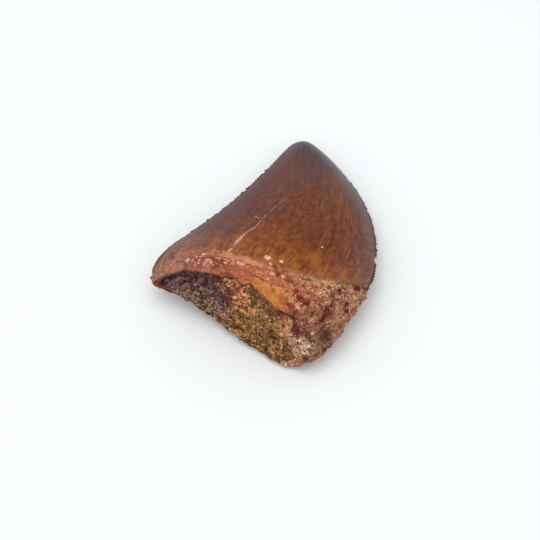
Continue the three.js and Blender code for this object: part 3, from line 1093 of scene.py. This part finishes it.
low_crown = graph.fade(along_crown, 0.75, 0.35)
red_patches = graph.times(graph.fade(mottles, 0.5, 0.68), low_crown)
enamel = graph.lay(enamel, paint(90, 40, 26), red_patches, 0.4)
speckle = graph.noise(place, 1.1, 5.0, 0.7)
speckle = graph.ramp(speckle, [(0.34, paint(200, 178, 166)), (0.6, WHITE)])
enamel = graph.mix(graph.fade(along_crown, 0.85, 0.5), enamel, speckle, "MULTIPLY")
blotch = graph.times(stain_mask(2.6, 0.56, 0.7), low_crown)
enamel = graph.lay(enamel, paint(84, 40, 30), blotch, 0.5)
glow_place = (graph.fade(along_crown, 0.4, 0.25), graph.fade(side, -0.5, -0.25))
glow = graph.times(stain_mask(4.0, 0.42, 0.66), *glow_place)
enamel = graph.lay(enamel, paint(184, 108, 28), glow, 0.55)
print("tooth_finish has", len(tooth_finish.node_tree.nodes), "nodes so far")

# %% Worn edges
WORN_FROM = 0.965  # how near to the edge the wear starts, where 1 is on the edge itself
WORN_FULL = 0.995
BACK_WEAR = 1.015  # above 1, the wear starts further in on the back edge

wander_in = graph.times(graph.about_zero(mottles), 0.02)
toward_edge = graph.most(side, graph.times(side, -BACK_WEAR))
worn_edge = graph.fade(graph.plus(toward_edge, wander_in), WORN_FROM, WORN_FULL)
worn_edge = graph.times(worn_edge, graph.fade(along_crown, 0.9, 0.7))
enamel = graph.lay(enamel, paint(68, 32, 28), worn_edge, 0.85)
print("wear starts at", WORN_FROM, "in front and at", round(WORN_FROM / BACK_WEAR, 3), "at the back")

# %% [markdown]
# ## Cracks and scratches in the enamel
# A pale, healed crack runs down the crown, thin at first and ragged below. Short dark scratches
# lie beside it. They could be cut into the mesh, but the crack is filled level and the
# scratches are as fine as the mesh itself. So each is a chain of line marks, pushed about by
# noise so that none looks ruled.

# %% Marks on the enamel
PALE_CRACK = [
    (-2.2, 4.0), (-3.0, 0.5), (-3.5, -1.3), (-3.7, -3.5), (-4.6, -5.5), (-4.8, -6.5),
    (-5.1, -8.2), (-5.1, -10.0), (-5.5, -11.1),
]
CRACK_WIDTHS = [0.04, 0.06, 0.08, 0.12, 0.22, 0.36, 0.14, 0.28]
CRACK_FORK = ((-4.9, -1.2), (-4.0, -1.6))
FORK_WIDTH = 0.16
SCRATCHES = [
    ((-2.0, -6.2), (-2.4, -7.1)), ((0.3, -6.3), (-0.3, -9.7)), ((4.6, -7.0), (4.2, -8.6)),
    ((0.6, 8.0), (0.3, 5.6)), ((-1.2, 2.2), (-1.6, 0.4)),
]
SCRATCH_WIDTH = 0.18
MARK_WOBBLE = 0.7

upper = graph.fade(lift, 0.0, 0.2)
wobbled = graph.warped(place, (MARK_WOBBLE, MARK_WOBBLE, 0), 2.0, 5.0, 0.85)


def marks(lines, widths):
    """The strongest of several line marks, on the upper side only."""
    strongest = 0.0
    for (start, end), width in zip(lines, widths):
        ends = {"Vector": wobbled, "Start": (*start, 0), "End": (*end, 0), "Width": width}
        strongest = graph.most(strongest, graph.group(line_mark, ends)["Mask"])
    return graph.times(strongest, upper)


crack_lines = list(zip(PALE_CRACK, PALE_CRACK[1:])) + [CRACK_FORK]
crack = marks(crack_lines, CRACK_WIDTHS + [FORK_WIDTH])
crack = graph.times(crack, graph.fade(graph.noise(place, 1.6, 5.0, 0.8), 0.4, 0.54))
scratch = marks(SCRATCHES, [SCRATCH_WIDTH] * len(SCRATCHES))
enamel = graph.lay(enamel, paint(86, 46, 24), scratch, 0.65)
enamel = graph.lay(enamel, paint(214, 160, 138), crack, 0.85)
print("crack of", len(crack_lines), "stretches and", len(SCRATCHES), "scratches")

# %% [markdown]
# ## The bare root
# Under the enamel the root is a patchwork. Towards the back edge it is smooth and pinkish, with
# faint streaks. The crust is tan sand with dark red stains. The gritty band is red with pale
# grains, the bare dentine glows orange beside the break, and a paler gritty ridge tops it. Each
# covers the one before through a soft mask whose edge is roughened by noise. A material for
# each would be simpler, but their borders would follow the faces of the mesh and look stepped.

# %% Noises and sands of the root
def sand(grain, dark, middle, pale, pale_share, veins, creases):
    """Grit of a grain size in millimetres, on the material in hand, in screen colours."""
    return graph.group(grit, {
        "Vector": place, "Grain": grain, "Dark": paint(*dark), "Middle": paint(*middle),
        "Pale": paint(*pale), "Pale Share": pale_share, "Veins": veins, "Creases": creases,
    })


rough_edge = graph.about_zero(graph.noise(place, 1.1, 4.0, 0.65))
edge_noise = graph.plus(rough_edge, graph.about_zero(graph.noise(place, 3.4, 3.0, 0.7)))
grain_noise = graph.about_zero(graph.noise(place, 5.0, 3.0, 0.7))
grain_edge = graph.plus(edge_noise, graph.times(grain_noise, 1.6))
fine_grit = sand(0.22, (110, 44, 34), (168, 94, 62), (214, 152, 108), 0.16, 0.2, 0.3)
crust_grit = sand(0.27, (130, 62, 44), (202, 124, 82), (255, 212, 160), 0.2, 0.6, 0.5)
red_grit = sand(0.25, (130, 46, 38), (190, 94, 74), (248, 188, 158), 0.21, 0.35, 0.4)
ridge_grit = sand(0.26, (170, 74, 44), (216, 118, 74), (248, 190, 142), 0.14, 0.2, 0.2)
pale_grit = sand(0.28, (104, 56, 40), (206, 146, 108), (255, 226, 188), 0.24, 0.7, 0.8)
print("tooth_finish has", len(tooth_finish.node_tree.nodes), "nodes so far")

# %% Smooth root
below = graph.field("below_enamel")
streaky = graph.fade(streaks, 0.35, 0.65)
pinkish = graph.mix(streaky, paint(124, 90, 86), paint(174, 138, 130))
reddish = graph.mix(streaky, paint(138, 60, 38), paint(186, 96, 62))
root = graph.mix(graph.fade(side, -0.85, -0.4), pinkish, reddish)
root = graph.lay(root, paint(166, 104, 68), stain_mask(1.6, 0.4, 0.65), 0.5)
root = graph.mix(0.45, root, fine_grit["Color"])
sugary = graph.times(graph.fade(below, 2.5, 1.5), graph.fade(side, -0.7, -0.4))
sugary = graph.times(sugary, graph.fade(rough_edge, -0.15, 0.1))
root = graph.lay(root, paint(216, 150, 108), sugary, 0.6)
print("tooth_finish has", len(tooth_finish.node_tree.nodes), "nodes so far")

# %% Crust and red band
# Size in millimetres, strength and colour of the clouds in the crust.
CRUST_CLOUDS = [
    (1.5, 0.5, paint(180, 98, 66)), (1.0, 0.6, paint(84, 30, 28)),
    (0.85, 0.5, paint(204, 156, 116)),
]
CRUST_REACH = 12.0  # millimetres below the enamel's edge
DOWN_THE_CRUST = [
    (0.1, paint(255, 252, 248)), (0.5, paint(252, 240, 234)), (0.9, paint(236, 218, 216)),
]

crust_color = crust_grit["Color"]
for size, strength, tint in CRUST_CLOUDS:
    crust_color = graph.lay(crust_color, tint, stain_mask(size, 0.54, 0.66), strength)
lower_crust = graph.ramp(graph.over(below, CRUST_REACH), DOWN_THE_CRUST)
crust_color = graph.mix(1.0, crust_color, lower_crust, "MULTIPLY")
front_crust = graph.fade(side, 0.6, 0.95)
crust_color = graph.mix(front_crust, crust_color, paint(230, 240, 250), "MULTIPLY")
crust_mask = graph.ragged(graph.field("crust"), edge_noise, 1.0, 0.3, 0.6)
root = graph.mix(crust_mask, root, crust_color)
red_mask = graph.ragged(graph.field("red_band"), edge_noise, 1.6, 0.15, 0.8)
root = graph.mix(red_mask, root, red_grit["Color"])
print("crust has", len(CRUST_CLOUDS), "kinds of cloud")

# %% Dentine and pale ridge
dentine_mask = graph.ragged(graph.field("dentine"), edge_noise, 2.2, 0.36, 0.7)
amber_share = graph.ragged(along_crown, rough_edge, 0.08, 0.09, 0.03)
orange = graph.mix(amber_share, paint(210, 128, 66), paint(172, 104, 22))
orange = graph.lay(orange, paint(222, 152, 80), graph.fade(edge_noise, -0.1, 0.2), 0.4)
orange = graph.lay(orange, paint(120, 62, 32), stain_mask(0.6, 0.56, 0.66), 0.6)
orange = graph.mix(0.2, orange, ridge_grit["Color"])
root = graph.mix(dentine_mask, root, orange)
ridge_mask = graph.ragged(graph.field("pale_ridge"), edge_noise, 1.5, 0.25, 0.75)
root = graph.lay(root, ridge_grit["Color"], ridge_mask, 0.9)
print("tooth_finish has", len(tooth_finish.node_tree.nodes), "nodes so far")

# %% Stains and painted shade in the pits of the root
ROOT_TINTS = [
    ("tan_spots", "SCREEN", paint(92, 82, 54), 0.8),
    ("smooth_tan", "MIX", paint(168, 124, 98), 0.7),
    ("rust_spots", "MULTIPLY", paint(228, 178, 176), 0.9),
    ("red_spots", "MULTIPLY", paint(180, 106, 108), 0.95),
    ("purple_spots", "MULTIPLY", paint(156, 122, 138), 1.0),
    ("dark_spots", "MIX", paint(96, 58, 24), 0.7),
]

for name, blend, tint, strength in ROOT_TINTS:
    spot = graph.ragged(graph.field(name), grain_edge, 1.2, 0.2, 0.75)
    root = graph.lay(root, tint, spot, strength, blend)
white_mask = graph.ragged(graph.field("white_spots"), edge_noise, 1.2, 0.3, 0.6)
root = graph.mix(white_mask, root, pale_grit["Color"])
# Painted shade: the pits between lumps and grains are darkened, except on the dentine and the ridge.
pits = graph.times(graph.fade(graph.field("pit"), 0.35, 0.95), graph.minus(1.0, dentine_mask))
pits = graph.times(pits, graph.minus(1.0, ridge_mask))
root = graph.lay(root, paint(70, 30, 28), pits, 0.65)
print("root has", len(ROOT_TINTS), "kinds of stain and a chalky white one")

# %% [markdown]
# ## Enamel over root
# The enamel ends in a ragged line, except at the back edge, where it thins out gradually. The
# broken wall shows the same grit as the crust, darkened under the lip as painted shade, and the
# hollow behind it is painted dark as shade. A short crack runs in from the rim. A few white
# flecks of calcite lie over all of it. The enamel could be a shell of its own, but it is a third
# of a millimetre thick. One skin with a step in it shows the same edge, and has no seam.

# %% Enamel over root
enamel_edge = graph.plus(below, graph.times(grain_edge, 1.5))
worn_thin = graph.times(graph.fade(enamel_edge, -1.0, 1.4), graph.fade(side, -0.6, -0.85))
bare_mask = graph.times(graph.fade(enamel_edge, -0.3, 0.5), graph.fade(side, -0.85, -0.6))
bare_mask = graph.most(worn_thin, bare_mask)
enamel_stain = graph.ragged(graph.field("dark_spots"), edge_noise, 1.0, 0.25, 0.8)
enamel = graph.lay(enamel, paint(94, 48, 50), enamel_stain, 0.6)
surface = graph.mix(bare_mask, enamel, root)
print("tooth_finish has", len(tooth_finish.node_tree.nodes), "nodes so far")

# %% Broken wall, rim crack and flecks
RIM_CRACK = ((7.0, -17.2), (9.6, -16.6))
RIM_CRACK_WIDTH = 0.14

# Painted shade: under the lip the wall's grit is darkened, like the shade beneath the rim.
shaded_wall = graph.mix(1.0, crust_grit["Color"], paint(150, 120, 104), "MULTIPLY")
wall_color = graph.mix(graph.fade(side, 0.5, 0.8), shaded_wall, crust_grit["Color"])
surface = graph.mix(graph.field("fracture"), surface, wall_color)
# Painted shade: inside the hollow, under the lip side, the wall is painted dark.
hollow_shade = graph.fade(along_crown, LIP_STATION * 0.5, LIP_STATION)
hollow_shade = graph.times(hollow_shade, graph.fade(lift, -0.1, 0.3))
surface = graph.lay(surface, paint(56, 32, 28), hollow_shade, graph.fade(side, 0.5, 0.2))
rim_crack = marks([RIM_CRACK], [RIM_CRACK_WIDTH])
surface = graph.lay(surface, paint(48, 20, 20), rim_crack, 0.85)
flecks = graph.field("white_flecks")
fleck_edge = graph.about_zero(graph.noise(place, 5.5, 2.0, 0.6))
fleck_mask = graph.ragged(flecks, fleck_edge, 2.4, 0.45, 0.65)
fleck_mask = graph.times(fleck_mask, graph.fade(flecks, 0.1, 0.3))
surface = graph.lay(surface, paint(236, 200, 178), fleck_mask, 0.8)
print("tooth_finish has", len(tooth_finish.node_tree.nodes), "nodes so far")

# %% [markdown]
# ## Polish and grain
# Enamel is glossy, the bare root and the flecks are matt, and the dentine lies between. The same
# masks that mix the colours set the roughness. The grit's own height goes into a bump where the
# surface is gritty, with the streaks as faint ridges and the scratches as grooves. A bump costs
# little, where a mesh fine enough for each grain would need about a million faces.

# %% Polish of the tooth
ENAMEL_ROUGHNESS = 0.32
MATT_ROUGHER = 0.45
DENTINE_POLISH = 0.7

polish = graph.times(dentine_mask, DENTINE_POLISH)
matt = graph.times(bare_mask, graph.minus(1.0, polish))
matt = graph.most(matt, fleck_mask, graph.times(worn_edge, 0.6), graph.times(back_margin, 0.4))
roughness = graph.plus(ENAMEL_ROUGHNESS, graph.times(matt, MATT_ROUGHER))
roughness = graph.plus(roughness, graph.times(graph.about_zero(streaks), 0.12))
print("roughness from", ENAMEL_ROUGHNESS, "on enamel to", ENAMEL_ROUGHNESS + MATT_ROUGHER)

# %% Grain of the tooth
# Millimetres for one unit of the grit's height, of the streaks and of the scratches.
GRIT_BUMP = 0.14
STREAK_BUMP = 0.02
SCRATCH_BUMP = 0.05

gritty_mask = graph.times(graph.most(crust_mask, graph.most(red_mask, ridge_mask)), bare_mask)
smooth_dentine = graph.times(dentine_mask, graph.minus(1.0, ridge_mask))
gritty_mask = graph.times(gritty_mask, graph.minus(1.0, smooth_dentine))
bump_height = graph.times(crust_grit["Height"], graph.times(gritty_mask, GRIT_BUMP))
bump_height = graph.plus(bump_height, graph.times(streaks, STREAK_BUMP))
bump_height = graph.minus(bump_height, graph.times(scratch, SCRATCH_BUMP))
bump = graph.add("Bump", {"Strength": 0.9, "Distance": MM, "Height": bump_height})
graph.feed(tooth_shader, {
    "Base Color": surface, "Roughness": roughness, "Specular IOR Level": 0.38, "Normal": bump,
})
crown.data.materials.append(tooth_finish)
print("tooth_finish has", len(tooth_finish.node_tree.nodes), "nodes")

# %% [markdown]
# ## The sandstone
# The stone is the same sand all through, but its stains change across the face: purple deep
# under the lip, red and ochre beside it, grey towards the back end and brown towards the front.
# One palette would look like plaster, and pieces of different stone would meet in hard lines.
# So the grit group is placed five times, each with its own palette, and the place on the face,
# roughened by noise, chooses between them.

# %% Sands of the stone
STONE_GRAIN = 0.27
STONE_VEINS = 0.4
STONE_CREASES = 0.9
# Dark, middle and pale screen colours, and the share of pale grains.
PALETTES = {
    "brown": ((78, 44, 28), (186, 122, 74), (255, 206, 138), 0.16),
    "grey": ((70, 44, 38), (162, 118, 96), (240, 200, 162), 0.17),
    "purple": ((58, 34, 40), (124, 84, 90), (192, 150, 142), 0.13),
    "red": ((72, 30, 30), (146, 80, 68), (216, 154, 124), 0.15),
    "ochre": ((124, 52, 34), (252, 142, 84), (255, 226, 172), 0.2),
}

stone_finish, graph, stone_shader, place = new_material("stone_finish")
sands = {
    name: sand(STONE_GRAIN, *palette, STONE_VEINS, STONE_CREASES)
    for name, palette in PALETTES.items()
}
stone_edge = graph.about_zero(graph.noise(place, 0.9, 5.0, 0.65))
stone_x = graph.add("SeparateXYZ", {0: place}, "X")
stone_x = graph.plus(stone_x, graph.times(stone_edge, 8.0))
back_end = graph.fade(stone_x, -0.5, -4.0)
stone_color = graph.mix(back_end, sands["brown"]["Color"], sands["grey"]["Color"])
for name in ("purple", "red", "ochre"):
    zone = graph.ragged(graph.field(name + "_zone"), stone_edge, 1.6, 0.2, 0.65)
    stone_color = graph.mix(zone, stone_color, sands[name]["Color"])
print("stone has", len(sands), "sands")

# %% Stains and painted shade of the stone
# shaded_zone is painted shade under the lip rim; the others are stains.
STONE_TINTS = [
    ("yellow_zone", paint(186, 132, 66), 0.3), ("shaded_zone", paint(92, 64, 46), 0.5),
    ("purple_spots", paint(76, 46, 46), 0.6),
]

for name, tint, strength in STONE_TINTS:
    zone = graph.ragged(graph.field(name), stone_edge, 1.2, 0.3, 0.7)
    stone_color = graph.lay(stone_color, tint, zone, strength)
yellow_stain = graph.times(stain_mask(1.4, 0.47, 0.6), graph.fade(stone_x, -2.5, 0.0))
stone_color = graph.lay(stone_color, paint(184, 134, 58), yellow_stain, 0.38)
stone_color = graph.lay(stone_color, paint(62, 38, 34), stain_mask(1.1, 0.54, 0.68), 0.6)
# Painted shade: the pits between lumps and grains of the stone are darkened.
stone_pits = graph.fade(graph.field("pit"), 0.3, 0.9)
stone_color = graph.lay(stone_color, paint(52, 30, 28), stone_pits, 0.6)
print("stone has", len(STONE_TINTS), "stains by place and two by noise")

# %% Grain of the stone
STONE_BUMP = 0.16  # millimetres for one unit of the grit's height

bump_height = graph.times(sands["brown"]["Height"], STONE_BUMP)
bump = graph.add("Bump", {"Strength": 0.9, "Distance": MM, "Height": bump_height})
graph.feed(stone_shader, {
    "Base Color": stone_color, "Roughness": 0.9, "Specular IOR Level": 0.3, "Normal": bump,
})
stone.data.materials.append(stone_finish)
print("stone_finish has", len(stone_finish.node_tree.nodes), "nodes")

# %% [markdown]
# ## Handing over
# Both pieces ride on the one body, in place of their CAD nodes.

# %% Hand over to the frame
for piece, slot, node in ((crown, "tooth", "tooth"), (stone, "sandstone", "sandstone_fill")):
    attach(piece, "root")
    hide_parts(node)
